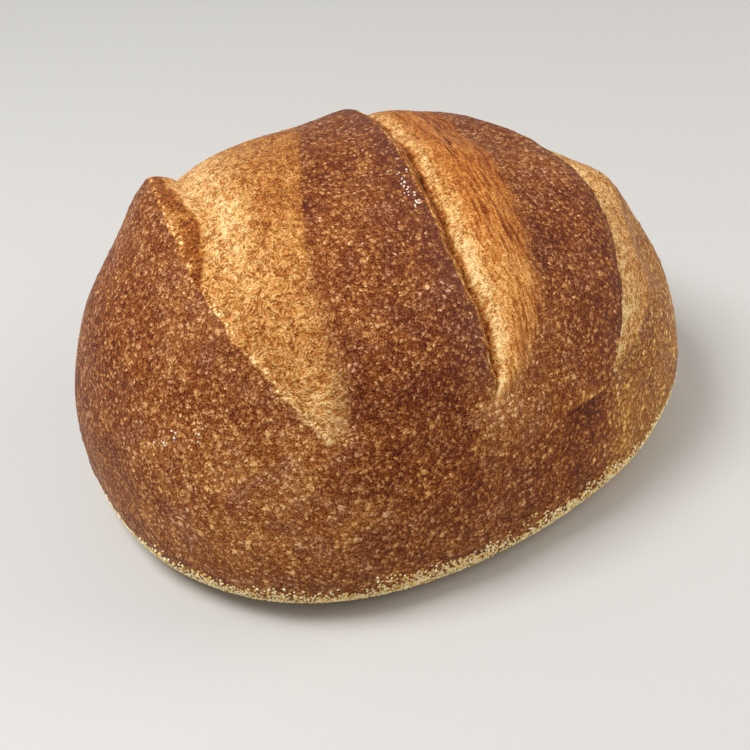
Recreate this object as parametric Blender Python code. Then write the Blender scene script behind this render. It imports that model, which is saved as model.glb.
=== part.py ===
"""An oval sourdough loaf: one crust, flat underneath, with three scores across it that opened in the oven.

Metres, +Z up. X runs along the loaf and the scores cross it. The origin is on the surface that the loaf rests on,
under the middle of its bounding box.
"""

import math
from dataclasses import dataclass

import bmesh
import bpy
import numpy as np

MM = 0.001

# The loaf before it was scored
LENGTH = 227 * MM
WIDTH = 173 * MM
HEIGHT = 119.5 * MM
BELLY_HEIGHT = 26 * MM  # height above the base at which the loaf is widest
BASE_SHARE = 0.84  # the flat base's outline as a share of the belly's
CROWN_LEAN = -23 * MM  # how far the crown sits towards -X of the base
PLAN_SQUARENESS = 2.24  # exponents of the superellipses: 2 is an ellipse, more is squarer
DOME_SQUARENESS = 2.2
UNDERSIDE_SQUARENESS = 2.3

# Places where the dough rose more or less than that: X, ring angle, reach across the skin, height
SWELLS = [
    (-54 * MM, 116, 30 * MM, 3.4 * MM),
    (-34 * MM, 110, 16 * MM, -1.6 * MM),
    (-69 * MM, 121, 8 * MM, -2.6 * MM),
    (-60 * MM, 116, 5.5 * MM, 0.8 * MM),
    (-97 * MM, 134, 24 * MM, -1.3 * MM),
    (43 * MM, 94, 18 * MM, -3.8 * MM),
    (57 * MM, 92, 16 * MM, 1.2 * MM),
    (80 * MM, 66, 15 * MM, 2.8 * MM),
    (80 * MM, 38, 16 * MM, -3.6 * MM),
    (-80 * MM, -12, 32 * MM, 3.2 * MM),
]
LUMP_HEIGHT = 0.5 * MM  # and low waves all over the skin
LUMP_LENGTH = 46 * MM
LUMP_SEED = 11
EDGE_WANDER = 0.5 * MM  # how far a torn edge strays from its line
EDGE_WANDER_TURNS = (19, 31, 47)  # waves of it in a turn round the loaf
FULLY_OPEN = 12 * MM  # a score this wide has its full edges and bulge

# Mesh
STATIONS_BETWEEN_EARS = 36
RING_POINTS = 240
FACE_BUDGET = 10800
CRUST_COLOUR = (0.23, 0.085, 0.028, 1.0)


@dataclass
class Score:
    """One score. Its ear is the lifted edge on the -X side, from which the crust tore open towards +X.

    Each table gives millimetres by ring angle. Ring angles are in degrees round the loaf's long axis: 0 is the
    front (-Y), 90 the crown, 180 the back and -90 the middle of the base.
    """

    ear_line: dict  # X of the ear's edge; the same at -60 and 240, between which it crosses the base
    opening: dict  # distance from the ear's edge to the far edge, 0 at the score's two ends
    ear_lift: dict
    lip: dict  # width of the browned lip beyond the ear's edge
    lip_fall: float  # how far down to the groove the lip slopes before it breaks off, as a share
    groove: dict  # depth below the lip
    bulge: float  # rise of the opened crumb, half way across
    far_lift: float  # of the crust's edge on the far side
    overhang: float


SCORES = [
    Score(
        ear_line={-60: -66, 34: -74, 50: -81.5, 72: -84, 90: -78.5, 104: -70, 117: -61.5, 156: -52, 240: -66},
        opening={32: 0, 43: 12, 62: 24, 86: 43, 112: 55, 144: 32, 158: 0},
        ear_lift={32: 0, 66: 1.2, 92: 3.8, 108: 5, 158: 0},
        lip={32: 0.5, 66: 5, 88: 12, 98: 10, 106: 6, 118: 5.5, 158: 0.5},
        lip_fall=0.45,
        groove={32: 0, 62: 1.2, 90: 4.4, 118: 4, 158: 0},
        bulge=1.7 * MM,
        far_lift=0.3 * MM,
        overhang=0.3 * MM,
    ),
    Score(
        ear_line={-60: -8, 22: -23, 40: -19, 60: -15, 84: -2, 112: 12, 134: 17, 240: -8},
        opening={26: 0, 36: 22, 50: 29.5, 66: 35.5, 100: 36, 135: 27, 156: 0},
        ear_lift={26: 0, 50: 1.8, 106: 2.9, 156: 0},
        lip={26: 0.4, 60: 3, 90: 4.5, 156: 0.5},
        lip_fall=0.4,
        groove={26: 0, 42: 4.2, 80: 5.4, 140: 3, 156: 0},
        bulge=1.5 * MM,
        far_lift=0.4 * MM,
        overhang=0.9 * MM,
    ),
    Score(
        ear_line={-60: 28, 20: 31, 34: 42, 52: 53.5, 76: 57, 120: 52, 240: 28},
        opening={18: 0, 28: 22, 44: 19, 80: 27, 125: 22, 150: 0},
        ear_lift={18: 0, 40: 1.8, 100: 2.2, 150: 0},
        lip={18: 0.3, 40: 1, 100: 1.5, 150: 0.3},
        lip_fall=0.3,
        groove={18: 0, 40: 3.6, 90: 4, 150: 0},
        bulge=0.6 * MM,
        far_lift=0.9 * MM,
        overhang=0.9 * MM,
    ),
]
EAR_SPREAD = 12 * MM  # how far from its edge an ear lifts the crust
FAR_SPREAD = 8 * MM
OVERHANG_SPREAD = 5 * MM
LIP_BREAK = 2.2 * MM  # width of the break below the lip
FAR_STEP = 3.5 * MM  # width of the step up to the crust on the far side

# A small lifted flake of crust, low at the front
FLAKE_X = 16 * MM
FLAKE_RING = 17  # degrees
FLAKE_REACH = 12 * MM
FLAKE_LIFT = 1.0 * MM
FLAKE_SPREAD = 6 * MM
FLAKE_STEP = 1.2 * MM


def superellipse(share, exponent):
    """The other coordinate of a unit superellipse whose first coordinate is share."""
    return (1 - np.clip(share, 0, 1) ** exponent) ** (1 / exponent)


def girth(z):
    """How large the loaf's outline is at height z, as a share of its outline at the belly."""
    dome = superellipse((z - BELLY_HEIGHT) / (HEIGHT - BELLY_HEIGHT), DOME_SQUARENESS)
    under = superellipse((BELLY_HEIGHT - z) / BELLY_HEIGHT, UNDERSIDE_SQUARENESS)
    return np.where(z >= BELLY_HEIGHT, dome, BASE_SHARE + (1 - BASE_SHARE) * under)


def inside_loaf(x, y, z):
    """Whether points lie in the unscored loaf."""
    across = (x - CROWN_LEAN * (np.clip(z, 0, None) / HEIGHT) ** 2) / (LENGTH / 2)
    along = y / (WIDTH / 2)
    outline = (np.abs(across) ** PLAN_SQUARENESS + np.abs(along) ** PLAN_SQUARENESS) ** (1 / PLAN_SQUARENESS)
    return (outline <= girth(z)) & (z >= 0) & (z <= HEIGHT)


def skin_radius(x, ring):
    """Distance from the axis at (x, 0, BELLY_HEIGHT) to the skin, at ring angles in radians, by halving."""
    near = np.zeros(np.broadcast(x, ring).shape)
    far = np.full(near.shape, max(LENGTH, HEIGHT))
    for _ in range(40):
        middle = (near + far) / 2
        inside = inside_loaf(x, -middle * np.cos(ring), BELLY_HEIGHT + middle * np.sin(ring))
        near = np.where(inside, middle, near)
        far = np.where(inside, far, middle)
    return near


def outward(points):
    """Unit vectors that point out of the skin."""
    x, y, z = points.T
    half_height = np.where(z >= BELLY_HEIGHT, HEIGHT - BELLY_HEIGHT, BELLY_HEIGHT)
    normal = np.stack(
        [x / (LENGTH / 2) ** 2, y / (WIDTH / 2) ** 2, (z - BELLY_HEIGHT) / half_height**2], axis=1
    )
    return normal / np.maximum(np.linalg.norm(normal, axis=1, keepdims=True), 1e-9)


def waves(points, wavelength, seed, count=14):
    """Smooth uneven noise of about -1 to 1: waves in seeded directions, added up."""
    draw = np.random.default_rng(seed)
    direction = draw.normal(size=(count, 3))
    direction /= np.linalg.norm(direction, axis=1, keepdims=True)
    spread = draw.uniform(0.7, 1.5, count)
    phase = draw.uniform(0, 2 * math.pi, count)
    return np.sin(points @ (direction.T * 2 * math.pi * spread / wavelength) + phase).sum(axis=1) / math.sqrt(count)


def smooth_step(value):
    t = np.clip(value, 0, 1)
    return t * t * (3 - 2 * t)


def from_table(table, ring):
    """Metres from a table of millimetres by ring angle, along a smooth curve that stays level beyond its ends."""
    knots = np.array(list(table), float)
    values = np.array(list(table.values())) * MM
    slopes = np.gradient(values, knots)
    ring = np.clip(ring, knots[0], knots[-1])
    i = np.clip(np.searchsorted(knots, ring) - 1, 0, len(knots) - 2)
    span = knots[i + 1] - knots[i]
    t = (ring - knots[i]) / span
    bend_in = slopes[i] * span * t * (1 - t) ** 2
    bend_out = slopes[i + 1] * span * t**2 * (t - 1)
    return values[i] + (values[i + 1] - values[i]) * smooth_step(t) + bend_in + bend_out


def ear_edge(score, ring):
    """X of the ear's torn edge: its line with small waves where the score is open."""
    x = from_table(score.ear_line, ring)
    phase = score.ear_line[-60]
    wander = sum(np.sin(np.radians(ring) * turns + phase * turns) for turns in EDGE_WANDER_TURNS)
    return x + EDGE_WANDER / 2 * wander * smooth_step(from_table(score.opening, ring) / FULLY_OPEN)


def score_relief(score, points, ring):
    """(rise along the skin's normal, shift towards +X) that a score gives the skin at these points."""
    opening = np.maximum(from_table(score.opening, ring), 0)
    width = np.maximum(opening, 0.05 * MM)
    open_share = smooth_step(opening / FULLY_OPEN)
    beyond = points[:, 0] - ear_edge(score, ring)
    lift = np.maximum(from_table(score.ear_lift, ring), 0)
    lip = np.minimum(np.maximum(from_table(score.lip, ring), 0.1 * MM), width * 0.45)
    lip_break = np.minimum(LIP_BREAK, width * 0.2)
    share = np.clip(beyond / width, 0, 1)
    groove = np.maximum(from_table(score.groove, ring), 0)
    opened = score.bulge * open_share * np.sin(math.pi * share) - groove * (1 - share) ** 2
    on_lip = lift - score.lip_fall * (lift + groove) * np.clip(beyond / lip, 0, 1) ** 1.5
    below_lip = smooth_step((beyond - lip) / lip_break)
    within = on_lip + (opened - on_lip) * below_lip
    far = score.far_lift * open_share * np.exp(-np.maximum(beyond - width, 0) / FAR_SPREAD)
    rise = np.where(beyond <= 0, lift * np.exp(-((np.minimum(beyond, 0) / EAR_SPREAD) ** 2)), within)
    rise = rise + far * smooth_step((beyond - width) / FAR_STEP + 1)
    lean_over = np.exp(-((np.minimum(beyond, 0) / OVERHANG_SPREAD) ** 2)) * (1 - below_lip)
    return rise, score.overhang * lean_over * open_share


def flake_rise(points, ring):
    """Rise of the flake, whose free edge is towards the base."""
    above = (ring - FLAKE_RING) * math.pi / 180 * WIDTH / 2
    along = (points[:, 0] - FLAKE_X) / FLAKE_REACH
    lifted = FLAKE_LIFT * np.exp(-np.maximum(above, 0) / FLAKE_SPREAD) * smooth_step(above / FLAKE_STEP + 0.5)
    return lifted * np.exp(-(along**4)) * (ring < 90)


def swell_rise(points):
    """Rise of the skin from the swells and the low waves."""
    rise = LUMP_HEIGHT * waves(points, LUMP_LENGTH, LUMP_SEED)
    for x, ring, reach, height in SWELLS:
        angle = math.radians(ring)
        radius = skin_radius(np.array([x]), np.array([angle]))[0]
        centre = np.array([x, -radius * math.cos(angle), BELLY_HEIGHT + radius * math.sin(angle)])
        rise = rise + height * np.exp(-((points - centre) ** 2).sum(axis=1) / reach**2)
    return rise


def baked_skin(points):
    """The skin's points after the bake: uneven rise, ears, openings and the flat base kept flat."""
    ring = np.degrees(np.arctan2(points[:, 2] - BELLY_HEIGHT, -points[:, 1]))
    ring = (ring + 90) % 360 - 90
    above_base = smooth_step(points[:, 2] / (0.7 * BELLY_HEIGHT))
    rise = swell_rise(points) + flake_rise(points, ring)
    shift = np.zeros(len(points))
    for score in SCORES:
        score_rise, score_shift = score_relief(score, points, ring)
        rise = rise + score_rise
        shift = shift + score_shift
    moved = points + outward(points) * (rise * above_base)[:, None]
    moved[:, 0] += shift * above_base
    return moved


def ring_stations(ring):
    """X of the mesh's stations at each ring angle, from end to end, crowded on the ears' edges."""
    end_shift = CROWN_LEAN * (BELLY_HEIGHT / HEIGHT) ** 2
    ends = [np.full_like(ring, sign * LENGTH / 2 + end_shift) for sign in (-1, 1)]
    knots = [ends[0]] + [ear_edge(score, ring) for score in SCORES] + [ends[1]]
    share = np.arange(STATIONS_BETWEEN_EARS) / STATIONS_BETWEEN_EARS
    crowded = share - 0.6 * np.sin(2 * math.pi * share) / (2 * math.pi)
    from_end = 1 - np.cos(math.pi / 2 * share)
    to_end = np.sin(math.pi / 2 * share)
    spacings = [from_end] + [crowded] * (len(knots) - 3) + [to_end]
    stations = [
        start + (stop - start) * s
        for start, stop, spacing in zip(knots[:-1], knots[1:], spacings)
        for s in spacing
    ]
    return np.array(stations + [ends[1]])


def loaf_mesh():
    """The scored skin as rings of points from end to end, closed at its two ends."""
    ring = np.arange(RING_POINTS) * 360 / RING_POINTS - 90
    stations = ring_stations(ring)[1:-1]
    ring = np.radians(ring)
    radius = skin_radius(stations, ring)
    points = np.stack(
        [stations, -radius * np.cos(ring), BELLY_HEIGHT + radius * np.sin(ring)], axis=-1
    ).reshape(-1, 3)
    end_shift = CROWN_LEAN * (BELLY_HEIGHT / HEIGHT) ** 2
    tips = [(sign * LENGTH / 2 + end_shift, 0, BELLY_HEIGHT) for sign in (-1, 1)]
    points = baked_skin(np.concatenate([points, tips]))
    points[:, :2] -= (points[:, :2].min(axis=0) + points[:, :2].max(axis=0)) / 2
    bm = bmesh.new()
    verts = [bm.verts.new(p) for p in points]
    rings = [verts[i : i + RING_POINTS] for i in range(0, len(verts) - 2, RING_POINTS)]
    following = [*range(1, RING_POINTS), 0]
    for here, there in zip(rings[:-1], rings[1:]):
        for i, j in enumerate(following):
            bm.faces.new((here[i], there[i], there[j], here[j]))
    for i, j in enumerate(following):
        bm.faces.new((verts[-2], rings[0][i], rings[0][j]))
        bm.faces.new((verts[-1], rings[-1][j], rings[-1][i]))
    bmesh.ops.recalc_face_normals(bm, faces=bm.faces)
    mesh = bpy.data.meshes.new("loaf")
    bm.to_mesh(mesh)
    bm.free()
    return mesh


def crust_material():
    material = bpy.data.materials.new("baked_crust")
    material.use_nodes = True
    shader = material.node_tree.nodes["Principled BSDF"]
    shader.inputs["Base Color"].default_value = CRUST_COLOUR
    shader.inputs["Roughness"].default_value = 0.55
    shader.inputs["Metallic"].default_value = 0.0
    return material


def make_loaf():
    """The loaf as one object, thinned so that small faces stay only where the ears and openings need them."""
    mesh = loaf_mesh()
    loaf = bpy.data.objects.new("loaf", mesh)
    bpy.context.scene.collection.objects.link(loaf)
    mesh.materials.append(crust_material())
    triangles = sum(len(face.vertices) - 2 for face in mesh.polygons)
    thin = loaf.modifiers.new("Thin", "DECIMATE")
    thin.ratio = FACE_BUDGET / triangles
    mesh.shade_smooth()
    mesh.set_sharp_from_angle(angle=math.radians(50))
    return loaf


def main():
    for obj in list(bpy.data.objects):
        bpy.data.objects.remove(obj)
    make_loaf()


main()
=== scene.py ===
"""The looks of an oval sourdough loaf: its blistered crust, torn crumb, cornmeal and flour.

Metres, +Z up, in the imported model's frame. X runs along the loaf and the scores cross it.
"""

import math
from dataclasses import dataclass

import bpy
import numpy as np
from mathutils import Matrix, Vector


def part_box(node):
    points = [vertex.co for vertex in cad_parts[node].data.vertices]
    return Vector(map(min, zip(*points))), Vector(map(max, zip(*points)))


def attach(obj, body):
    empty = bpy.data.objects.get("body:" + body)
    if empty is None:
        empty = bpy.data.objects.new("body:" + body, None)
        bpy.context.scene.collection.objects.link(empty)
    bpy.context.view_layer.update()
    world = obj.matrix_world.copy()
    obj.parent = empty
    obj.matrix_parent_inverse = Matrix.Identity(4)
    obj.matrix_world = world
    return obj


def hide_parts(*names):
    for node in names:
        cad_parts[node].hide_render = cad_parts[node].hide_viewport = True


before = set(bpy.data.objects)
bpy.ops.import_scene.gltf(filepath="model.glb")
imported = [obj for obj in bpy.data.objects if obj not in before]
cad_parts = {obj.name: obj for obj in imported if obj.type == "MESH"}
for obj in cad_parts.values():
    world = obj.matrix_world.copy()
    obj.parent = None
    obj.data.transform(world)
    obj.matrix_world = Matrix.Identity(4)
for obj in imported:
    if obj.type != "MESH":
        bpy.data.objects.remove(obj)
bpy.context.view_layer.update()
LOAF_LOW, LOAF_HIGH = (np.array(corner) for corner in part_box("loaf"))

MM = 0.001

# The loaf before it was scored
LENGTH = 227 * MM
WIDTH = 173 * MM
HEIGHT = 119.5 * MM
BELLY_HEIGHT = 26 * MM  # height above the base at which the loaf is widest
BASE_SHARE = 0.84  # the flat base's outline as a share of the belly's
CROWN_LEAN = -23 * MM  # how far the crown sits towards -X of the base
PLAN_SQUARENESS = 2.24  # exponents of the superellipses: 2 is an ellipse, more is squarer
DOME_SQUARENESS = 2.2
UNDERSIDE_SQUARENESS = 2.3

# Places where the dough rose more or less than that: X, ring angle, reach across the skin, height
SWELLS = [
    (-54 * MM, 116, 30 * MM, 3.4 * MM),
    (-34 * MM, 110, 16 * MM, -1.6 * MM),
    (-69 * MM, 121, 8 * MM, -2.6 * MM),
    (-60 * MM, 116, 5.5 * MM, 0.8 * MM),
    (-97 * MM, 134, 24 * MM, -1.3 * MM),
    (43 * MM, 94, 18 * MM, -3.8 * MM),
    (57 * MM, 92, 16 * MM, 1.2 * MM),
    (80 * MM, 66, 15 * MM, 2.8 * MM),
    (80 * MM, 38, 16 * MM, -3.6 * MM),
    (-80 * MM, -12, 32 * MM, 3.2 * MM),
]
LUMP_HEIGHT = 0.5 * MM  # and low waves all over the skin
LUMP_LENGTH = 46 * MM
LUMP_SEED = 11
EDGE_WANDER = 0.5 * MM  # how far a torn edge strays from its line
EDGE_WANDER_TURNS = (19, 31, 47)  # waves of it in a turn round the loaf
FULLY_OPEN = 12 * MM  # a score this wide has its full edges and bulge

# Grains that lie on the skin: how many where they lie thickest, and their size
MEAL_PER_M2 = 1.35e6
MEAL_SIZE = 1.15 * MM
FLOUR_PER_M2 = 1.8e6
FLOUR_SIZE = 1.0 * MM

# Mesh of the skin
STATIONS = (62, 92, 70, 74)  # from end to ear, ear to ear, ear to ear and ear to end
TOP_POINTS = 292  # of a ring, from just below the front to just below the back
BASE_POINTS = 40
TOP_RING = (-22, 202)
FINE_RELIEF = 0.35 * MM  # the skin is drawn in by this much, to keep the finest relief in the CAD box


@dataclass
class Score:
    """One score. Its ear is the lifted edge on the -X side, from which the crust tore open towards +X.

    Each table gives millimetres by ring angle. Ring angles are in degrees round the loaf's long axis: 0 is
    the front (-Y), 90 the crown, 180 the back and -90 the middle of the base.
    """

    ear_line: dict  # X of the ear's edge; the same at -60 and 240, between which it crosses the base
    opening: dict  # distance from the ear's edge to the far edge, 0 at the score's two ends
    ear_lift: dict
    lip: dict  # width of the browned lip beyond the ear's edge
    lip_fall: float  # how far down to the groove the lip slopes before it breaks off, as a share
    groove: dict  # depth below the lip
    bulge: float  # rise of the opened crumb, half way across
    far_lift: float  # of the crust's edge on the far side
    overhang: float
    browned_lip: float  # the part of the lip that is browned, as a share of its width
    scorch: float  # how scorched the crust beside the ear is, up to 1
    soft_far: float  # how softly the crumb's colour ends on the far side
    soft_tip: float  # and how much more softly near its front end


SCORES = [
    Score(
        ear_line={
            -60: -66, 34: -74, 50: -81.5, 72: -84, 90: -78.5, 104: -70, 117: -61.5, 156: -52, 240: -66,
        },
        opening={32: 0, 43: 12, 62: 24, 86: 43, 112: 55, 144: 32, 158: 0},
        ear_lift={32: 0, 66: 1.2, 92: 3.8, 108: 5, 158: 0},
        lip={32: 0.5, 66: 5, 88: 12, 98: 10, 106: 6, 118: 5.5, 158: 0.5},
        lip_fall=0.45,
        groove={32: 0, 62: 1.2, 90: 4.4, 118: 4, 158: 0},
        bulge=1.7 * MM,
        far_lift=0.3 * MM,
        overhang=0.3 * MM,
        browned_lip=0.72,
        scorch=0.15,
        soft_far=0.15,
        soft_tip=1.5,
    ),
    Score(
        ear_line={-60: -8, 22: -23, 40: -19, 60: -15, 84: -2, 112: 12, 134: 17, 240: -8},
        opening={26: 0, 36: 22, 50: 29.5, 66: 35.5, 100: 36, 135: 27, 156: 0},
        ear_lift={26: 0, 50: 1.8, 106: 2.9, 156: 0},
        lip={26: 0.4, 60: 3, 90: 4.5, 156: 0.5},
        lip_fall=0.4,
        groove={26: 0, 42: 4.2, 80: 5.4, 140: 3, 156: 0},
        bulge=1.5 * MM,
        far_lift=0.4 * MM,
        overhang=0.9 * MM,
        browned_lip=0.9,
        scorch=1.0,
        soft_far=0.6,
        soft_tip=1.0,
    ),
    Score(
        ear_line={-60: 28, 20: 31, 34: 42, 52: 53.5, 76: 57, 120: 52, 240: 28},
        opening={18: 0, 28: 22, 44: 19, 80: 27, 125: 22, 150: 0},
        ear_lift={18: 0, 40: 1.8, 100: 2.2, 150: 0},
        lip={18: 0.3, 40: 1, 100: 1.5, 150: 0.3},
        lip_fall=0.3,
        groove={18: 0, 40: 3.6, 90: 4, 150: 0},
        bulge=0.6 * MM,
        far_lift=0.9 * MM,
        overhang=0.9 * MM,
        browned_lip=0.3,
        scorch=0.8,
        soft_far=1.0,
        soft_tip=0.0,
    ),
]
EAR_SPREAD = 12 * MM  # how far from its edge an ear lifts the crust
FAR_SPREAD = 8 * MM
OVERHANG_SPREAD = 5 * MM
LIP_BREAK = 2.2 * MM  # width of the break below the lip
FAR_STEP = 3.5 * MM  # width of the step up to the crust on the far side
SCORCH_REACH = 9.5 * MM
RADIAN_OF_SKIN = 78  # mm of skin for a radian of the ring angle, for the direction of the strands
STRANDS_APART = 60  # mm between the scores' strands in their pattern, so that no two scores are alike

# A small lifted flake of crust, low at the front
FLAKE_X = 16 * MM
FLAKE_RING = 17  # degrees
FLAKE_REACH = 12 * MM
FLAKE_LIFT = 1.0 * MM
FLAKE_SPREAD = 6 * MM
FLAKE_STEP = 1.2 * MM

# The photograph's view
VIEW_AZIMUTH = -36.46  # degrees
VIEW_ELEVATION = 36.46
VIEW_ROLL = -3.29
VIEW_DISTANCE = 0.55
VIEW_TARGET = (-0.0064, 0.0002, 0.0272)
VIEW_SENSOR = 36  # mm
VIEW_LENS = 72.93  # mm

FLOOR_REACH = 3.0  # from the loaf to each edge of the floor


def superellipse(share, exponent):
    """The other coordinate of a unit superellipse whose first coordinate is share."""
    return (1 - np.clip(share, 0, 1) ** exponent) ** (1 / exponent)


def girth(z):
    """How large the loaf's outline is at height z, as a share of its outline at the belly."""
    dome = superellipse((z - BELLY_HEIGHT) / (HEIGHT - BELLY_HEIGHT), DOME_SQUARENESS)
    under = superellipse((BELLY_HEIGHT - z) / BELLY_HEIGHT, UNDERSIDE_SQUARENESS)
    return np.where(z >= BELLY_HEIGHT, dome, BASE_SHARE + (1 - BASE_SHARE) * under)


def inside_loaf(x, y, z):
    """Whether points lie in the unscored loaf."""
    across = (x - CROWN_LEAN * (np.clip(z, 0, None) / HEIGHT) ** 2) / (LENGTH / 2)
    along = y / (WIDTH / 2)
    power = PLAN_SQUARENESS
    outline = (np.abs(across) ** power + np.abs(along) ** power) ** (1 / power)
    return (outline <= girth(z)) & (z >= 0) & (z <= HEIGHT)


def skin_radius(x, ring):
    """Distance from the axis at (x, 0, BELLY_HEIGHT) to the skin, by halving. Ring angles in radians."""
    near = np.zeros(np.broadcast(x, ring).shape)
    far = np.full(near.shape, max(LENGTH, HEIGHT))
    for _ in range(26):
        middle = (near + far) / 2
        inside = inside_loaf(x, -middle * np.cos(ring), BELLY_HEIGHT + middle * np.sin(ring))
        near = np.where(inside, middle, near)
        far = np.where(inside, far, middle)
    return near


def outward(points):
    """Unit vectors that point out of the skin."""
    x, y, z = points.T
    half_height = np.where(z >= BELLY_HEIGHT, HEIGHT - BELLY_HEIGHT, BELLY_HEIGHT)
    normal = np.stack(
        [x / (LENGTH / 2) ** 2, y / (WIDTH / 2) ** 2, (z - BELLY_HEIGHT) / half_height**2], axis=1
    )
    return normal / np.maximum(np.linalg.norm(normal, axis=1, keepdims=True), 1e-9)


def waves(points, wavelength, seed, count=14):
    """Smooth uneven noise of about -1 to 1: waves in seeded directions, added up."""
    draw = np.random.default_rng(seed)
    direction = draw.normal(size=(count, 3))
    direction /= np.linalg.norm(direction, axis=1, keepdims=True)
    spread = draw.uniform(0.7, 1.5, count)
    phase = draw.uniform(0, 2 * math.pi, count)
    turns = points @ (direction.T * 2 * math.pi * spread / wavelength)
    return np.sin(turns + phase).sum(axis=1) / math.sqrt(count)


def smooth_step(value):
    t = np.clip(value, 0, 1)
    return t * t * (3 - 2 * t)


def hump(value, middle, reach):
    """1 at the middle, falling off to 0 over about twice the reach on either side."""
    return np.exp(-(((value - middle) / reach) ** 2))


def from_table(table, ring):
    """Metres from a table of millimetres by ring angle: a smooth curve, level beyond its ends."""
    knots = np.array(list(table), float)
    values = np.array(list(table.values())) * MM
    slopes = np.gradient(values, knots)
    ring = np.clip(ring, knots[0], knots[-1])
    i = np.clip(np.searchsorted(knots, ring) - 1, 0, len(knots) - 2)
    span = knots[i + 1] - knots[i]
    t = (ring - knots[i]) / span
    bend_in = slopes[i] * span * t * (1 - t) ** 2
    bend_out = slopes[i + 1] * span * t**2 * (t - 1)
    return values[i] + (values[i + 1] - values[i]) * smooth_step(t) + bend_in + bend_out


def ear_edge(score, ring):
    """X of the ear's torn edge: its line with small waves where the score is open."""
    x = from_table(score.ear_line, ring)
    phase = score.ear_line[-60]
    wander = sum(np.sin(np.radians(ring) * turns + phase * turns) for turns in EDGE_WANDER_TURNS)
    return x + EDGE_WANDER / 2 * wander * smooth_step(from_table(score.opening, ring) / FULLY_OPEN)


def score_relief(score, points, ring):
    """What a score does at these points: its rise along the normal and its shift towards +X.

    Also how far they are past the ear's edge, and how wide the opening and the lip are there.
    """
    opening = np.maximum(from_table(score.opening, ring), 0)
    width = np.maximum(opening, 0.05 * MM)
    open_share = smooth_step(opening / FULLY_OPEN)
    beyond = points[:, 0] - ear_edge(score, ring)
    lift = np.maximum(from_table(score.ear_lift, ring), 0)
    lip = np.minimum(np.maximum(from_table(score.lip, ring), 0.1 * MM), width * 0.45)
    lip_break = np.minimum(LIP_BREAK, width * 0.2)
    share = np.clip(beyond / width, 0, 1)
    groove = np.maximum(from_table(score.groove, ring), 0)
    opened = score.bulge * open_share * np.sin(math.pi * share) - groove * (1 - share) ** 2
    on_lip = lift - score.lip_fall * (lift + groove) * np.clip(beyond / lip, 0, 1) ** 1.5
    below_lip = smooth_step((beyond - lip) / lip_break)
    within = on_lip + (opened - on_lip) * below_lip
    far = score.far_lift * open_share * np.exp(-np.maximum(beyond - width, 0) / FAR_SPREAD)
    rise = np.where(beyond <= 0, lift * np.exp(-((np.minimum(beyond, 0) / EAR_SPREAD) ** 2)), within)
    rise = rise + far * smooth_step((beyond - width) / FAR_STEP + 1)
    lean_over = np.exp(-((np.minimum(beyond, 0) / OVERHANG_SPREAD) ** 2)) * (1 - below_lip)
    shift = score.overhang * lean_over * open_share
    return rise, shift, beyond, opening, lip


def above_flake(ring):
    """How far up the skin from the flake's edge, in metres."""
    return (ring - FLAKE_RING) * math.pi / 180 * WIDTH / 2


def flake_rise(points, ring):
    """Rise of the flake, whose free edge is towards the base."""
    above = above_flake(ring)
    along = (points[:, 0] - FLAKE_X) / FLAKE_REACH
    step = smooth_step(above / FLAKE_STEP + 0.5)
    lifted = FLAKE_LIFT * np.exp(-np.maximum(above, 0) / FLAKE_SPREAD) * step
    return lifted * np.exp(-(along**4)) * (ring < 90)


def flake_painted_shadow(x, ring):
    """Painted shadow below the flake's edge, to 1, and lighter crust above it, to -1. x in mm."""
    above = above_flake(ring) / MM
    shade = np.where(above > 0, -np.exp(-above / 6), np.exp(above / 7))
    return shade * np.exp(-(((x - FLAKE_X / MM) / 9) ** 4)) * (ring < 90)


def swell_rise(points):
    """Rise of the skin from the swells and the low waves."""
    rise = LUMP_HEIGHT * waves(points, LUMP_LENGTH, LUMP_SEED)
    for x, ring, reach, height in SWELLS:
        angle = math.radians(ring)
        radius = skin_radius(np.array([x]), np.array([angle]))[0]
        centre = np.array([x, -radius * math.cos(angle), BELLY_HEIGHT + radius * math.sin(angle)])
        rise = rise + height * np.exp(-((points - centre) ** 2).sum(axis=1) / reach**2)
    return rise


def ring_angle(points):
    """Ring angle of each point in degrees, from -90 to 270."""
    ring = np.degrees(np.arctan2(points[:, 2] - BELLY_HEIGHT, -points[:, 1]))
    return (ring + 90) % 360 - 90


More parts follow.
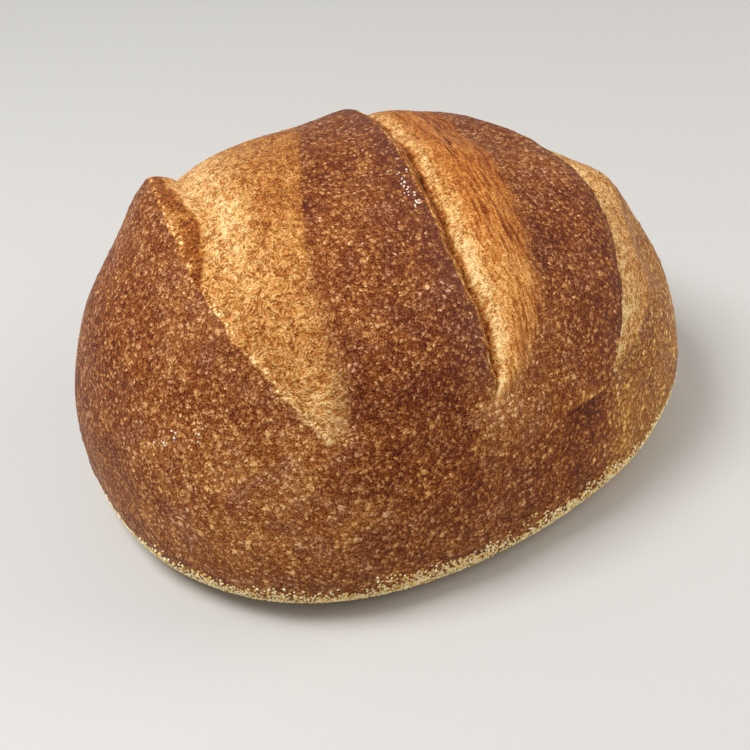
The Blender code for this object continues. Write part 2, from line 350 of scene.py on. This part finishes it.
def baked_skin(points):
    """The skin's points after the bake, and the zones that its colours follow, by name.

    opened, past_ear, before_far and lip are millimetres into a zone, or below 0 outside it. across is
    the share of the way from the ear to the far edge, and tear the place in a pattern along the score.
    """
    ring = ring_angle(points)
    above_base = smooth_step(points[:, 2] / (0.7 * BELLY_HEIGHT))
    rise = swell_rise(points) + flake_rise(points, ring)
    shift = np.zeros(len(points))
    none, far_off = np.zeros(len(points)), np.full(len(points), -20.0)
    zones = dict.fromkeys(("across", "browned", "second", "third", "soft_far", "scorch"), none)
    zones.update(dict.fromkeys(("opened", "past_ear", "before_far", "lip"), far_off))
    tear = np.zeros((len(points), 3))
    for number, score in enumerate(SCORES):
        score_rise, score_shift, beyond, opening, lip = score_relief(score, points, ring)
        rise = rise + score_rise
        shift = shift + score_shift
        closed = 3 * (1 - smooth_step(opening / (3 * MM)))
        here = {"opened": np.minimum(beyond, opening - beyond) / MM - closed}
        nearest = here["opened"] > zones["opened"]
        across = np.clip(beyond / np.maximum(opening, MM), -1, 2)
        here["past_ear"] = np.minimum(beyond / MM - closed, 3)
        here["before_far"] = np.minimum((opening - beyond) / MM - closed, 8)
        here["across"] = across
        here["second"] = number == 1
        here["third"] = number == 2
        here["browned"] = browned_share(number, across, ring)
        here["lip"] = (browned_lip(number, lip, opening, ring) - beyond) / MM
        here["soft_far"] = score.soft_far + score.soft_tip * (1 - smooth_step((ring - 46) / 36))
        for name, values in here.items():
            zones[name] = np.where(nearest, values, zones[name])
        beside = np.exp(np.minimum(beyond, 0) / SCORCH_REACH) * (beyond < 1 * MM)
        beside = beside * smooth_step(opening / (26 * MM))
        zones["scorch"] = np.maximum(zones["scorch"], beside * score.scorch)
        down_skin, apart = np.radians(ring) * RADIAN_OF_SKIN, np.full_like(ring, STRANDS_APART * number)
        tear = np.where(nearest[:, None], np.stack([beyond / MM, down_skin, apart], axis=1), tear)
    moved = points + outward(points) * (rise * above_base)[:, None]
    moved[:, 0] += shift * above_base
    zones["tear"] = tear
    return moved, zones


def ring_stations(ring):
    """X of the mesh's stations at each ring angle, from end to end, crowded on the ears' edges."""
    end_shift = CROWN_LEAN * (BELLY_HEIGHT / HEIGHT) ** 2
    ends = [np.full_like(ring, sign * LENGTH / 2 + end_shift) for sign in (-1, 1)]
    knots = [ends[0]] + [ear_edge(score, ring) for score in SCORES] + [ends[1]]
    stations = []
    for i, count in enumerate(STATIONS):
        share = np.arange(count) / count
        spacing = share - 0.6 * np.sin(2 * math.pi * share) / (2 * math.pi)
        if i == 0:
            spacing = 1 - np.cos(math.pi / 2 * share)
        if i == len(STATIONS) - 1:
            spacing = np.sin(math.pi / 2 * share)
        stations += [knots[i] + (knots[i + 1] - knots[i]) * s for s in spacing]
    return np.array(stations + [ends[1]])


def browned_lip(number, lip, opening, ring):
    """How far past its ear's edge a score's lip is browned, in metres."""
    reach = lip * SCORES[number].browned_lip
    if number == 0:
        return reach - 8 * MM * (1 - smooth_step((ring - 70) / 26))
    if number == 1:
        return reach + 4.5 * MM * smooth_step((opening - 8 * MM) / (12 * MM))
    return reach


def browned_share(number, across, ring):
    """How browned a score's crumb is, from 0 (cream) to 1, by the share of the way across it."""
    if number == 0:
        middle = 0.26 + 0.1 * smooth_step((105 - ring) / 20)
        cream = hump(across, middle, 0.17) * smooth_step((ring - 70) / 18)
        far = smooth_step((across - 0.4) / 0.4) * smooth_step((ring - 60) / 30)
        return 0.52 - 0.5 * cream - 0.4 * hump(ring, 40, 9) + 0.2 * hump(ring, 58, 8) + 0.45 * far
    if number == 1:
        streaked = smooth_step((across - 0.4) / 0.2)
        near = 0.3 * smooth_step((66 - 6 * streaked - ring) / 12) + 0.3 * smooth_step((38 - ring) / 8)
        far = 0.2 * smooth_step((ring - 62) / 10) * smooth_step((across - 0.12) / 0.12)
        streaks = 0.15 * smooth_step((across - 0.5) / 0.5)
        return 0.85 - 0.85 * hump(across, 0.27, 0.14) + streaks - near + far
    return 0.22 - 0.55 * hump(across, 0.12, 0.2) + 0.25 * smooth_step((across - 0.45) / 0.3)


def skin_faces(rows, count):
    """Faces between rows of count points each, closed round the loaf, and fans to the tips after them."""
    turn = (np.arange(count) + 1) % count
    here = np.arange(rows - 1)[:, None] * count + np.arange(count)
    beside = np.arange(rows - 1)[:, None] * count + turn
    quads = np.stack([here, here + count, beside + count, beside], axis=-1).reshape(-1, 4)
    last = (rows - 1) * count
    fans = [(rows * count, a, int(b)) for a, b in enumerate(turn)]
    fans += [(rows * count + 1, last + int(b), last + a) for a, b in enumerate(turn)]
    return quads.tolist() + fans


def fine_skin():
    """The loaf's skin as a mesh finer than the CAD solid, with its colour zones as attributes."""
    low, high = TOP_RING
    ring = np.concatenate(
        [
            np.linspace(low, high, TOP_POINTS, endpoint=False),
            np.linspace(high, low + 360, BASE_POINTS, endpoint=False),
        ]
    )
    ring = (ring + 90) % 360 - 90
    stations = ring_stations(ring)[1:-1]
    turn = np.radians(ring)
    radius = skin_radius(stations, turn)
    points = np.stack([stations, -radius * np.cos(turn), BELLY_HEIGHT + radius * np.sin(turn)], axis=-1)
    end_shift = CROWN_LEAN * (BELLY_HEIGHT / HEIGHT) ** 2
    tips = [(sign * LENGTH / 2 + end_shift, 0, BELLY_HEIGHT) for sign in (-1, 1)]
    points, zones = baked_skin(np.concatenate([points.reshape(-1, 3), tips]))
    inset = np.array([FINE_RELIEF, FINE_RELIEF, 0])
    low, high = LOAF_LOW + inset, LOAF_HIGH - [FINE_RELIEF] * 3
    bottom, top = points.min(axis=0), points.max(axis=0)
    points = low + (points - bottom) * (high - low) / (top - bottom)

    mesh = bpy.data.meshes.new("loaf_skin")
    mesh.from_pydata(points.tolist(), [], skin_faces(len(stations), len(ring)))
    mesh.shade_smooth()
    for name, values in zones.items():
        kind, field = ("FLOAT_VECTOR", "vector") if values.ndim == 2 else ("FLOAT", "value")
        attribute = mesh.attributes.new(name, kind, "POINT")
        attribute.data.foreach_set(field, values.astype(np.float32).ravel())
    return mesh


class Flow:
    """What comes out of a node. In an expression it adds Math nodes."""

    def __init__(self, tree, socket):
        self.tree = tree
        self.socket = socket

    def other(self, name):
        return Flow(self.tree, self.socket.node.outputs[name])

    def math(self, operation, *values):
        return self.tree.node("ShaderNodeMath", {"operation": operation}, dict(enumerate(values)))

    def __add__(self, other):
        return self.math("ADD", self, other)

    def __radd__(self, other):
        return self.math("ADD", other, self)

    def __sub__(self, other):
        return self.math("SUBTRACT", self, other)

    def __rsub__(self, other):
        return self.math("SUBTRACT", other, self)

    def __mul__(self, other):
        return self.math("MULTIPLY", self, other)

    def __truediv__(self, other):
        return self.math("DIVIDE", self, other)

    def __rtruediv__(self, other):
        return self.math("DIVIDE", other, self)

    def clamped(self):
        made = self.math("ADD", self, 0.0)
        made.socket.node.use_clamp = True
        return made

    def smooth(self, low, high):
        """0 below low, 1 above high, and a smooth step between them."""
        sockets = {"Value": self, "From Min": low, "From Max": high}
        return self.tree.node("ShaderNodeMapRange", {"interpolation_type": "SMOOTHSTEP"}, sockets)

    def most(self, other):
        return self.math("MAXIMUM", self, other)

    def absolute(self):
        return self.math("ABSOLUTE", self)


class Tree:
    """Adds nodes to a shader or geometry tree."""

    def __init__(self, tree):
        self.tree = tree

    def node(self, kind, settings=None, sockets=None, output=0):
        made = self.tree.nodes.new(kind)
        for name, value in (settings or {}).items():
            setattr(made, name, value)
        for name, value in (sockets or {}).items():
            if isinstance(value, Flow):
                self.tree.links.new(value.socket, made.inputs[name])
            elif value is not None:
                made.inputs[name].default_value = value
        return Flow(self, made.outputs[output]) if len(made.outputs) else made

    def mix(self, factor, first, second, blend="MIX"):
        """A mix of two colours, as (r, g, b) or as flows."""
        colours = [c if isinstance(c, Flow) else (*c, 1.0) for c in (first, second)]
        settings = {"data_type": "RGBA", "blend_type": blend}
        return self.node("ShaderNodeMix", settings, {0: factor, 6: colours[0], 7: colours[1]}, output=2)

    def attribute(self, name):
        return self.node("ShaderNodeAttribute", {"attribute_name": name}, output="Fac")

    def scaled(self, vector, factors):
        """A vector times (x, y, z)."""
        return self.node("ShaderNodeVectorMath", {"operation": "MULTIPLY"}, {0: vector, 1: factors})

    def noise(self, vector, size, detail=2.0, roughness=0.5, distortion=0.0):
        """Noise of about 0 to 1 whose lumps are size long, in the vector's unit."""
        sockets = {
            "Vector": vector,
            "Scale": 1 / size,
            "Detail": detail,
            "Roughness": roughness,
            "Distortion": distortion,
        }
        return self.node("ShaderNodeTexNoise", None, sockets)

    def cells(self, vector, size):
        """Distance from the nearest cell's middle, about 0 to 1. Its output Color is random by cell."""
        return self.node("ShaderNodeTexVoronoi", None, {"Vector": vector, "Scale": 1 / size})

    def axis(self, vector, name):
        """X, Y or Z of a vector or a colour."""
        return self.node("ShaderNodeSeparateXYZ", None, {0: vector}).other(name)


def new_material(name):
    material = bpy.data.materials.new(name)
    material.use_nodes = True
    material.node_tree.nodes.clear()
    return material, Tree(material.node_tree)


def finish_material(tree, colour, roughness, bump, **fixed):
    """Ends a material in a Principled shader. fixed are its sockets that are the same all over."""
    sockets = {"Base Color": colour, "Roughness": roughness, "Normal": bump}
    sockets.update({name.replace("_", " "): value for name, value in fixed.items()})
    shader = tree.node("ShaderNodeBsdfPrincipled", None, sockets)
    tree.node("ShaderNodeOutputMaterial", None, {"Surface": shader})


CORN_DUST = (0.66, 0.42, 0.12)
SCORCHED = (0.088, 0.023, 0.019)

# Colours from dark to light, each with its tone
CRUST_TONES = [
    (0.22, (0.045, 0.004, 0.0002)),
    (0.34, (0.115, 0.018, 0.0008)),
    (0.46, (0.208, 0.056, 0.007)),
    (0.60, (0.360, 0.138, 0.044)),
    (0.75, (0.560, 0.275, 0.110)),
    (0.95, (0.880, 0.600, 0.340)),
]
CRUMB_TONES = [
    (0.35, (0.125, 0.022, 0.001)),
    (0.55, (0.300, 0.085, 0.010)),
    (0.70, (0.490, 0.200, 0.042)),
    (0.80, (0.640, 0.345, 0.112)),
    (0.90, (0.810, 0.520, 0.210)),
    (1.02, (1.000, 0.750, 0.400)),
]


def toned(t, tone, colours):
    """A colour from dark to light, in straight steps between the (tone, colour) pairs."""
    made = colours[0][1]
    for (low, _), (high, colour) in zip(colours, colours[1:]):
        made = t.mix(((tone - low) / (high - low)).clamped(), made, colour)
    return made


def skin_material():
    """Blistered brown crust, and in the openings torn crumb from cream to orange-brown streaks."""
    material, t = new_material("baked_skin")
    place = t.node("ShaderNodeTexCoord", output="Object")
    mm = t.scaled(place, (1000, 1000, 1000))
    tear = t.node("ShaderNodeAttribute", {"attribute_name": "tear"}, output="Vector")
    grain = t.noise(mm, 0.6, 2.0, 0.6) - 0.5
    blot = t.noise(mm, 1.5, 3.0, 0.65) - 0.5
    patch = t.noise(mm, 7.0, 3.0, 0.55) - 0.5
    colour, fleck = crust_colour(t, mm, grain, blot, patch)
    crumb, fibre = crumb_colour(t, tear, grain, blot, patch)
    opened = opened_share(t, mm)
    colour = t.mix(opened, colour, crumb)
    dust = (1 - (t.axis(mm, "Z") + blot * 25).smooth(1.0, 8.0)) * 0.6
    colour = t.mix(dust, colour, CORN_DUST)
    height = (fleck * 0.42 + grain * 0.4) * (1 - opened) + (fibre * 0.42 + grain * 0.4) * opened
    bump = t.node("ShaderNodeBump", None, {"Strength": 1.0, "Distance": 0.001, "Height": height})
    roughness = 0.52 - fleck * 0.1
    finish_material(t, colour, roughness, bump, Specular_IOR_Level=0.14)
    return material


def opened_share(t, mm):
    """1 on the crumb and 0 on the crust. Its ragged edge is softer at the far side and the front end."""
    ragged = (t.noise(mm, 1.6, 3.0, 0.65) - 0.5) * 2.6
    soft = t.attribute("soft_far")
    far_side = t.attribute("before_far") + ragged * (0.5 + soft * 2.0)
    at_tip = (soft - 1.0).most(0.0)
    ear_side = t.attribute("past_ear") + ragged * (0.3 + at_tip * 1.8)
    by_ear = (ear_side / (1 + at_tip * 5)).smooth(-0.25, 0.25)
    return by_ear * (far_side / (0.4 + soft * 4.0)).smooth(-0.8, 0.8)


def crust_colour(t, mm, grain, blot, patch):
    """The crust's colour, and how far its flecks stand out."""
    warp = t.noise(mm, 1.2, 2.0).other("Color")
    sockets = {0: warp, 1: (2.4, 2.4, 2.4), 2: mm}
    warped = t.node("ShaderNodeVectorMath", {"operation": "MULTIPLY_ADD"}, sockets)
    small = t.cells(warped, 1.65)
    large = t.cells(warped, 2.9)
    golden, light_end = t.attribute("golden"), t.attribute("light_end")
    small_fleck = (1 - small.smooth(0.08, 0.7)) * (0.35 + t.axis(small.other("Color"), "X") * 0.65)
    large_fleck = (1 - large.smooth(0.2, 0.55)) * t.axis(large.other("Color"), "X").smooth(0.55, 1.0)
    fleck = small_fleck.most(large_fleck * (0.65 + golden * 0.5))
    # Painted highlight: tiny glints lighten the colour of a few flecks
    painted_glint = (1 - small.smooth(0.05, 0.3)) * t.axis(small.other("Color"), "Y").smooth(0.88, 0.98)
    # The darkness attribute holds the bake and a painted shadow below the flake's edge
    tone = 0.665 - t.attribute("bake_and_painted_shadow") * 0.26 + light_end * 0.11 + patch * 0.25
    tone = tone + (fleck - 0.3) * 0.42 + grain * 0.95 + blot * 0.2 + painted_glint * 0.25
    colour = toned(t, tone, CRUST_TONES)
    colour = t.mix(light_end * 0.8, colour, (0.97, 1.12, 0.88), "MULTIPLY")
    hue = t.noise(mm, 9.0, 3.0, 0.6)
    colour = t.mix(hue.smooth(0.4, 0.64), colour, (1.04, 1.02, 0.86), "MULTIPLY")
    colour = t.mix(hue.smooth(0.5, 0.34), colour, (0.90, 0.87, 1.12), "MULTIPLY")
    colour = t.mix(golden, colour, (1.0, 0.91, 0.62), "MULTIPLY")
    scorch = (t.attribute("scorch") * (1.2 - fleck)).clamped()
    return t.mix(scorch * 0.6, colour, SCORCHED), fleck


def ridges(noise, sharpness):
    """1 along the lines where a noise is a half, and 0 away from them."""
    return (1 - (noise - 0.5).absolute() * sharpness).clamped()


def crumb_colour(t, tear, grain, blot, patch):
    """The crumb's colour and its fibres, which run along the second score and every way in the others."""
    second, across = t.attribute("second"), t.attribute("across")
    along = t.noise(t.scaled(tear, (1.0, 0.16, 1.0)), 2.2, 2.0, 0.6, 0.4)
    web = t.noise(t.scaled(tear, (1.0, 0.6, 1.0)), 2.6, 2.0, 0.6, 0.8)
    cross_web = t.noise(t.scaled(tear, (0.55, 1.0, 1.0)), 2.4, 2.0, 0.6, 0.8)
    streak = ridges(along, 6.0)
    webs = ridges(web, 10.0).most(ridges(cross_web, 10.0))
    fibre = webs + (streak - webs) * second * across.smooth(0.3, 0.6)
    lip = t.attribute("lip") + (patch + grain * 0.6) * 7
    browned = t.attribute("browned") + lip.smooth(-0.8, 0.8) * (0.4 + (1 - lip.smooth(2.0, 6.0)) * 0.75)
    # Painted highlight: glints lighten the crumb just past the ear's edge
    by_ear = (1 - (t.attribute("past_ear") - 0.8).absolute()).clamped() * blot.smooth(0.0, 0.08)
    tone = 0.80 - browned * 0.24 + patch * 0.25 + (along - 0.5) * second * 0.3 + by_ear * 0.35
    tone = tone + (fibre - 0.4) * 0.26 + grain * 0.75 + blot * 0.45
    colour = t.mix(1 - t.attribute("third"), toned(t, tone, CRUMB_TONES), (1.0, 0.94, 0.88), "MULTIPLY")
    return t.mix(second * across.smooth(0.2, 0.5), colour, (1.0, 0.92, 0.80), "MULTIPLY"), fibre


def meal_material():
    """Grains of cornmeal, from deep yellow to nearly white."""
    material, t = new_material("cornmeal")
    tint = t.attribute("tint")
    colour = t.mix(tint.smooth(0.1, 0.9), (0.84, 0.56, 0.17), (1.0, 0.92, 0.58))
    finish_material(t, colour, 0.5, None, Specular_IOR_Level=0.3)
    return material


def flour_material():
    material, t = new_material("flour")
    place = t.node("ShaderNodeTexCoord", output="Object")
    lump = t.noise(t.scaled(place, (1000, 1000, 1000)), 0.6)
    colour = t.mix(lump, (0.70, 0.60, 0.50), (0.92, 0.88, 0.82))
    finish_material(t, colour, 0.8, None)
    return material


# Where the crust baked darker or lighter: a place on the skin and a reach in mm, and by how much
BAKE_SPOTS = [
    (-59, -69, 73, 24, 0.35),
    (-42, -79, 60, 24, 0.12),
    (-84, -62, 42, 28, -0.35),
    (-105, -36, 54, 22, -0.15),
    (-104, 16, 81, 30, 0.2),
    (-18, -3, 120, 30, 0.2),
    (-86, -20, 100, 24, -0.15),
    (34, -56, 93, 26, 0.3),
    (50, -73, 60, 16, 0.15),
    (3, -86, 38, 24, 0.15),
    (-77, -62, 70, 14, -0.4),
    (-15, -81, 61, 15, -0.4),
    (-20.5, -80, 66.5, 4.5, -0.6),
]
# Where flour was left: a place on the skin, a reach in mm and how thickly, up to 1
FLOUR_SPOTS = [
    (-8, -19, 118, 3, 0.15),
    (-9, -25, 118, 2.5, 0.3),
    (-11, -29, 116, 2.0, 0.8),
    (-11, -34, 115, 2.0, 1.0),
    (-107, -26, 67, 4, 0.12),
    (-105, -29, 69, 1.6, 0.9),
    (-100, -37, 70, 3, 0.1),
]


def near_spot(points, place, reach):
    """1 at a spot's place, falling off over its reach, in mm."""
    return np.exp(-((points - np.array(place)) ** 2).sum(axis=1) / reach**2)


def add_crust_zones(mesh):
    """Adds the crust's zones as attributes.

    They are how dark it baked, with a painted shadow below the flake's edge (bake_and_painted_shadow), how
    golden and how pale towards +X (light_end) it is, and how thick the cornmeal (meal) and the flour lie.
    """
    points = np.empty(len(mesh.vertices) * 3, np.float32)
    mesh.vertices.foreach_get("co", points)
    points = points.reshape(-1, 3) / MM
    x, _, z = points.T
    ring = ring_angle(points * MM)
    # The flake's term is a painted shadow below its edge, and lighter crust above it
    bake_and_painted_shadow = 0.5 + 0.05 * waves(points, 60, 3) + 0.08 * waves(points, 26, 4) + 0.5 * flake_painted_shadow(x, ring)
    for *place, reach, darker in BAKE_SPOTS:
        bake_and_painted_shadow += darker * near_spot(points, place, reach)
    golden = 0.6 * smooth_step((90 - z) / 50)
    golden += 0.5 * smooth_step((x + 20) / 50) * smooth_step((110 - z) / 50)
    past_third = x - ear_edge(SCORES[2], ring) / MM
    light_end = 0.9 * smooth_step((past_third + 2) / (8 + 8 * smooth_step((25 - ring) / 20)))
    clumps = 0.75 + 0.3 * waves(points, 5, 8) + 0.15 * waves(points, 17, 9)
    low_down = smooth_step((19 - z + 2 * waves(points, 12, 10)) / 12) ** 0.9
    meal = clumps * low_down * smooth_step((z - 2.6) / 1.5)
    flour = np.zeros(len(points))
    for *place, reach, amount in FLOUR_SPOTS:
        flour = np.maximum(flour, amount * near_spot(points, place, reach) ** 2)
    zones = {"bake_and_painted_shadow": bake_and_painted_shadow, "meal": meal, "flour": flour, "light_end": light_end, "golden": golden}
    for name, values in zones.items():
        mesh.attributes.new(name, "FLOAT", "POINT").data.foreach_set("value", values.astype(np.float32))


def add_object(name, mesh):
    made = bpy.data.objects.new(name, mesh)
    bpy.context.scene.collection.objects.link(made)
    return made


def new_geometry_tree(name, inputs):
    """A geometry tree with float inputs beside its geometry, a Tree that adds its nodes, and its inputs."""
    group = bpy.data.node_groups.new(name, "GeometryNodeTree")
    group.interface.new_socket("Geometry", in_out="INPUT", socket_type="NodeSocketGeometry")
    for label in inputs:
        group.interface.new_socket(label, in_out="INPUT", socket_type="NodeSocketFloat")
    group.interface.new_socket("Geometry", in_out="OUTPUT", socket_type="NodeSocketGeometry")
    tree = Tree(group)
    entry = tree.node("NodeGroupInput")
    return group, tree, {label: entry.other(label) for label in ("Geometry", *inputs)}


def run_geometry(obj, group, values):
    """The mesh that a geometry tree makes of obj, with its float inputs set by name."""
    modifier = obj.modifiers.new(group.name, "NODES")
    modifier.node_group = group
    for item in group.interface.items_tree:
        if item.item_type == "SOCKET" and item.in_out == "INPUT" and item.name in values:
            modifier[item.identifier] = float(values[item.name])
    evaluated = obj.evaluated_get(bpy.context.evaluated_depsgraph_get())
    mesh = bpy.data.meshes.new_from_object(evaluated)
    obj.modifiers.remove(modifier)
    return mesh


def finish_geometry(tree, geometry, material):
    real = tree.node("GeometryNodeRealizeInstances", None, {"Geometry": geometry})
    painted = tree.node("GeometryNodeSetMaterial", None, {"Geometry": real, "Material": material})
    tree.node("NodeGroupOutput", None, {"Geometry": painted})


def named(tree, name, kind="FLOAT"):
    return tree.node("GeometryNodeInputNamedAttribute", {"data_type": kind}, {"Name": name})


def relief_tree(material):
    """Raises blisters on the crust and strands on the crumb, clear of the base."""
    inputs = ("Blister size", "Blister height", "Strand size", "Strand height")
    group, t, flow = new_geometry_tree("Skin relief", inputs)
    place = t.node("GeometryNodeInputPosition")
    cells = t.cells(place, flow["Blister size"])
    chosen = t.axis(cells.other("Color"), "X").smooth(0.45, 1.0)
    dome = (1 - cells.smooth(0.1, 0.55)) * chosen
    along_strands = t.scaled(named(t, "tear", "FLOAT_VECTOR"), (0.001, 0.0003, 0.001))
    strands = t.noise(along_strands, flow["Strand size"], 3.0)
    crumb = named(t, "opened").smooth(0.0, 1.5)
    above = t.axis(place, "Z").smooth(0.002, 0.012)
    rise = flow["Blister height"] * dome * (1 - crumb) + flow["Strand height"] * (strands - 0.5) * crumb
    normal = t.node("GeometryNodeInputNormal")
    offset = t.node("ShaderNodeVectorMath", {"operation": "SCALE"}, {0: normal, "Scale": rise * above})
    moved = t.node("GeometryNodeSetPosition", None, {"Geometry": flow["Geometry"], "Offset": offset})
    finish_geometry(t, moved, material)
    return group


def random_value(tree, kind, low, high, seed):
    """A number (FLOAT) or a vector (FLOAT_VECTOR) between low and high, for each point."""
    lowest, output = {"FLOAT": (2, 1), "FLOAT_VECTOR": (0, 0)}[kind]
    sockets = {lowest: low, lowest + 1: high, "Seed": seed}
    return tree.node("FunctionNodeRandomValue", {"data_type": kind}, sockets, output=output)


def grain_tree(name, mask, material, seed):
    """Scatters grains on a surface, as thick as its attribute mask says, and keeps only the grains."""
    group, t, flow = new_geometry_tree(name, ("Grains per m2", "Grain size"))
    density = flow["Grains per m2"] * named(t, mask)
    points = t.node(
        "GeometryNodeDistributePointsOnFaces",
        {"distribute_method": "RANDOM"},
        {"Mesh": flow["Geometry"], "Density": density, "Seed": seed},
    )
    stored = t.node(
        "GeometryNodeStoreNamedAttribute",
        {"data_type": "FLOAT", "domain": "POINT"},
        {"Geometry": points, "Name": "tint", "Value": random_value(t, "FLOAT", 0.0, 1.0, seed + 1)},
    )
    grain = t.node("GeometryNodeMeshIcoSphere", None, {"Radius": 0.5, "Subdivisions": 1})
    size = random_value(t, "FLOAT_VECTOR", (0.4, 0.4, 0.4), (1.2, 1.2, 1.2), seed + 2)
    turn = random_value(t, "FLOAT_VECTOR", (0, 0, 0), (6.28, 6.28, 6.28), seed + 3)
    scale = t.node("ShaderNodeVectorMath", {"operation": "SCALE"}, {0: size, "Scale": flow["Grain size"]})
    placed = t.node(
        "GeometryNodeInstanceOnPoints",
        None,
        {"Points": stored, "Instance": grain, "Scale": scale, "Rotation": turn},
    )
    finish_geometry(t, placed, material)
    return group


RELIEF_SIZES = {
    "Blister size": 3.0 * MM,
    "Blister height": 0.28 * MM,
    "Strand size": 1.6 * MM,
    "Strand height": 0.6 * MM,
}


def make_loaf():
    loaf = add_object("loaf_skin", fine_skin())
    mesh = run_geometry(loaf, relief_tree(skin_material()), RELIEF_SIZES)
    add_crust_zones(mesh)
    loaf.data = mesh
    return loaf


def make_grains(loaf, name, mask, material, per_m2, size, seed):
    """Grains 0.4 to 1.2 times size across, per_m2 of them where the loaf's attribute mask is 1."""
    group = grain_tree(name, mask, material, seed)
    mesh = run_geometry(loaf, group, {"Grains per m2": per_m2, "Grain size": size})
    return add_object(name, mesh)


def add_camera():
    azimuth, elevation, roll = (math.radians(a) for a in (VIEW_AZIMUTH, VIEW_ELEVATION, VIEW_ROLL))
    level_part = math.cos(elevation)
    back = Vector((math.sin(azimuth) * level_part, -math.cos(azimuth) * level_part, math.sin(elevation)))
    level = (-back).cross(Vector((0, 0, 1))).normalized()
    upright = level.cross(-back)
    right = math.cos(roll) * level + math.sin(roll) * upright
    up = math.cos(roll) * upright - math.sin(roll) * level
    place = Vector(VIEW_TARGET) + back * VIEW_DISTANCE
    camera = bpy.data.objects.new("camera", bpy.data.cameras.new("camera"))
    bpy.context.scene.collection.objects.link(camera)
    camera.data.sensor_width = VIEW_SENSOR
    camera.data.lens = VIEW_LENS
    camera.matrix_world = Matrix([[right[i], up[i], back[i], place[i]] for i in range(3)] + [[0, 0, 0, 1]])
    bpy.context.scene.camera = camera


def add_light(name, place, size, watts, colour=(1, 1, 1)):
    light = bpy.data.lights.new(name, "AREA")
    light.size = size
    light.energy = watts
    light.color = colour
    lamp = add_object(name, light)
    lamp.location = place
    lamp.rotation_euler = (Vector((0, 0, 0.05)) - Vector(place)).to_track_quat("-Z", "Y").to_euler()


def add_studio():
    world = bpy.data.worlds.new("studio")
    world.use_nodes = True
    background = world.node_tree.nodes["Background"]
    background.inputs["Color"].default_value = (1.0, 0.98, 0.96, 1.0)
    background.inputs["Strength"].default_value = 0.52
    bpy.context.scene.world = world
    bpy.context.scene.view_settings.view_transform = "Standard"
    add_light("key", (-0.45, 0.1, 0.9), 0.4, 9, (1.0, 0.98, 0.95))
    add_light("fill", (0.8, -0.5, 0.5), 0.8, 5, (1.0, 0.91, 0.78))
    material, t = new_material("floor")
    finish_material(t, (0.55, 0.55, 0.55, 1.0), 0.7, None)
    floor = bpy.data.meshes.new("floor")
    corners = [(x * FLOOR_REACH, y * FLOOR_REACH, 0) for x, y in ((-1, -1), (1, -1), (1, 1), (-1, 1))]
    floor.from_pydata(corners, [], [(0, 1, 2, 3)])
    floor.materials.append(material)
    add_object("floor", floor)


def main():
    add_camera()
    add_studio()
    loaf = make_loaf()
    meal = make_grains(loaf, "cornmeal", "meal", meal_material(), MEAL_PER_M2, MEAL_SIZE, 5)
    flour = make_grains(loaf, "flour", "flour", flour_material(), FLOUR_PER_M2, FLOUR_SIZE, 21)
    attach(loaf, "root")
    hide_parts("loaf")
    for scattered in (meal, flour):
        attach(scattered, "root")


main()
